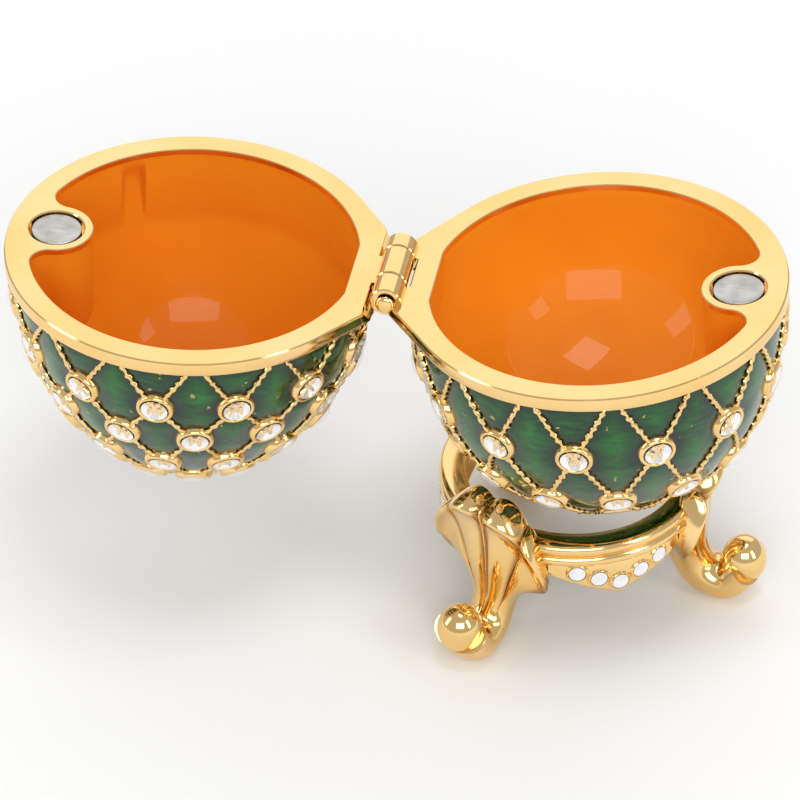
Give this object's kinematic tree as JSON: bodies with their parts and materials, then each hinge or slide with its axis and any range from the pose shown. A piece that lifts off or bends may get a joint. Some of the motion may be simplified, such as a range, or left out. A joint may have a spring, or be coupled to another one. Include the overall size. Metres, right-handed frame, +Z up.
{
  "type": "jewelled egg trinket box",
  "caption": "Hollow egg box in two hinged halves with magnet catches, covered in an enamel lattice with round stones, on a cast stand with leaf legs and curled feet.",
  "frame": {"origin": "on the surface the box stands on, at the middle of the open box, which is under the hinge pin", "axes": "+X from the open lid towards the bowl, +Z up, the hinge pin along Y"},
  "size_m": [0.0934, 0.045, 0.0465],
  "materials": {
    "enamelled_casting": "gloss",
    "gold_plate": "polished",
    "magnet": "satin",
    "crystal": "polished"
  },
  "bodies": {
    "base": {"bowl": "enamelled_casting", "hinge_pin": "gold_plate", "bowl_magnet": "magnet", "stand": "gold_plate", "bowl_crystal_1_01": "crystal", "bowl_crystal_1_02": "crystal", "bowl_crystal_1_03": "crystal", "bowl_crystal_1_04": "crystal", "bowl_crystal_1_05": "crystal", "bowl_crystal_1_06": "crystal", "bowl_crystal_1_07": "crystal", "bowl_crystal_1_08": "crystal", "bowl_crystal_1_09": "crystal", "bowl_crystal_1_10": "crystal", "bowl_crystal_1_11": "crystal", "bowl_crystal_1_12": "crystal", "bowl_crystal_1_13": "crystal", "bowl_crystal_1_14": "crystal", "bowl_crystal_2_01": "crystal", "bowl_crystal_2_02": "crystal", "bowl_crystal_2_03": "crystal", "bowl_crystal_2_04": "crystal", "bowl_crystal_2_05": "crystal", "bowl_crystal_2_06": "crystal", "bowl_crystal_2_07": "crystal", "bowl_crystal_2_08": "crystal", "bowl_crystal_2_09": "crystal", "bowl_crystal_2_10": "crystal", "bowl_crystal_2_11": "crystal", "bowl_crystal_2_12": "crystal", "bowl_crystal_2_13": "crystal", "bowl_crystal_2_14": "crystal", "apron_crystal_1_1": "crystal", "apron_crystal_1_2": "crystal", "apron_crystal_1_3": "crystal", "apron_crystal_1_4": "crystal", "apron_crystal_1_5": "crystal", "apron_crystal_2_1": "crystal", "apron_crystal_2_2": "crystal", "apron_crystal_2_3": "crystal", "apron_crystal_2_4": "crystal", "apron_crystal_2_5": "crystal", "apron_crystal_3_1": "crystal", "apron_crystal_3_2": "crystal", "apron_crystal_3_3": "crystal", "apron_crystal_3_4": "crystal", "apron_crystal_3_5": "crystal"},
    "lid": {"lid": "enamelled_casting", "lid_magnet": "magnet", "lid_tip_crystal": "crystal"}
  },
  "joints": [
    {"name": "lid_hinge", "type": "hinge", "parent": "base", "child": "lid", "pos_m": [-0.00006, 0, 0.04286], "axis": [0, 1, 0], "range_deg": [0, 173]}
  ]
}
